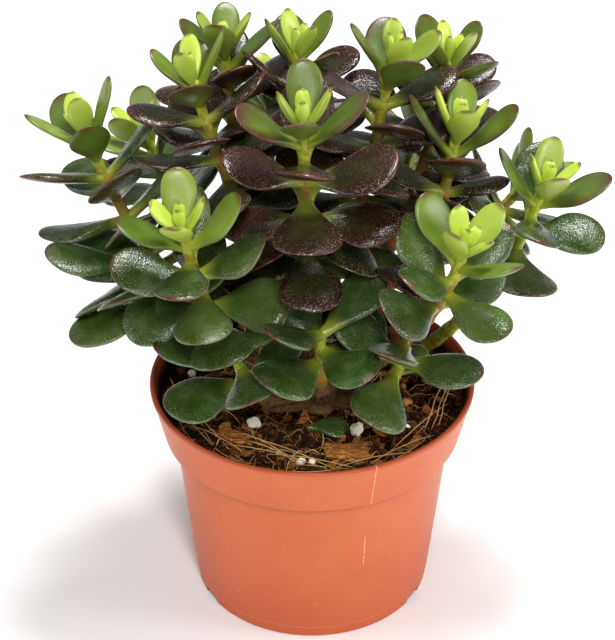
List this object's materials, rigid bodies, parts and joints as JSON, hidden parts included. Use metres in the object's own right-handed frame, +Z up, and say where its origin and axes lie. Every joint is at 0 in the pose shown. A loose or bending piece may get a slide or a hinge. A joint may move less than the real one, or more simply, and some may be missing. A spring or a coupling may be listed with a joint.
{
  "type": "potted jade plant",
  "caption": "Bushy jade plant with thick spoon-shaped leaves in opposite pairs on branching stems, rooted in soil in a tapered plastic nursery pot.",
  "frame": {"origin": "centre of the underside of the pot, where it stands on the table", "axes": "+Z up through the pot, -Y towards the viewer of the picture, +X to the viewer's right"},
  "size_m": [0.2063, 0.156, 0.2247],
  "materials": {
    "terracotta_plastic": "satin",
    "potting_soil": "matte",
    "bark": "matte",
    "green_stem": "satin",
    "mature_leaf": "satin",
    "purple_leaf": "satin",
    "young_leaf": "satin",
    "perlite": "matte",
    "coir_chip": "matte"
  },
  "bodies": {
    "root": {"coir_chip_large": "coir_chip", "coir_chip_small": "coir_chip", "fallen_leaf": "mature_leaf", "perlite_grain_1": "perlite", "perlite_grain_2": "perlite", "perlite_grain_3": "perlite", "pot": "terracotta_plastic", "shoot_back_far_left_leaves": "mature_leaf", "shoot_back_far_left_stem": "green_stem", "shoot_back_far_left_tip": "young_leaf", "shoot_back_far_right_leaves": "mature_leaf", "shoot_back_far_right_stem": "green_stem", "shoot_back_far_right_tip": "young_leaf", "shoot_back_middle_leaves": "mature_leaf", "shoot_back_middle_stem": "green_stem", "shoot_back_middle_tip": "young_leaf", "shoot_base_back_leaves": "mature_leaf", "shoot_base_left_leaves": "mature_leaf", "shoot_base_middle_leaves": "mature_leaf", "shoot_base_right_leaves": "mature_leaf", "shoot_crown_back_leaves": "purple_leaf", "shoot_crown_back_left_leaves": "purple_leaf", "shoot_crown_back_left_stem": "green_stem", "shoot_crown_back_left_tip": "young_leaf", "shoot_crown_back_right_leaves": "purple_leaf", "shoot_crown_back_right_stem": "green_stem", "shoot_crown_back_right_tip": "young_leaf", "shoot_crown_back_stem": "green_stem", "shoot_crown_back_tip": "young_leaf", "shoot_crown_left_leaves": "purple_leaf", "shoot_crown_left_stem": "green_stem", "shoot_crown_left_tip": "young_leaf", "shoot_crown_right_leaves": "purple_leaf", "shoot_crown_right_stem": "green_stem", "shoot_crown_right_tip": "young_leaf", "shoot_far_left_leaves": "mature_leaf", "shoot_far_left_stem": "green_stem", "shoot_far_left_tip": "young_leaf", "shoot_far_right_leaves": "mature_leaf", "shoot_far_right_stem": "green_stem", "shoot_far_right_tip": "young_leaf", "shoot_front_middle_leaves": "purple_leaf", "shoot_front_middle_stem": "green_stem", "shoot_front_middle_tip": "young_leaf", "shoot_front_right_leaves": "purple_leaf", "shoot_front_right_stem": "green_stem", "shoot_front_right_tip": "young_leaf", "shoot_low_left_leaves": "mature_leaf", "shoot_low_left_stem": "green_stem", "shoot_low_left_tip": "young_leaf", "shoot_low_right_leaves": "mature_leaf", "shoot_low_right_stem": "green_stem", "shoot_low_right_tip": "young_leaf", "shoot_side_left_leaves": "mature_leaf", "shoot_side_right_leaves": "mature_leaf", "shoot_side_right_stem": "green_stem", "shoot_side_right_tip": "young_leaf", "soil": "potting_soil", "trunk": "bark"}
  },
  "joints": []
}
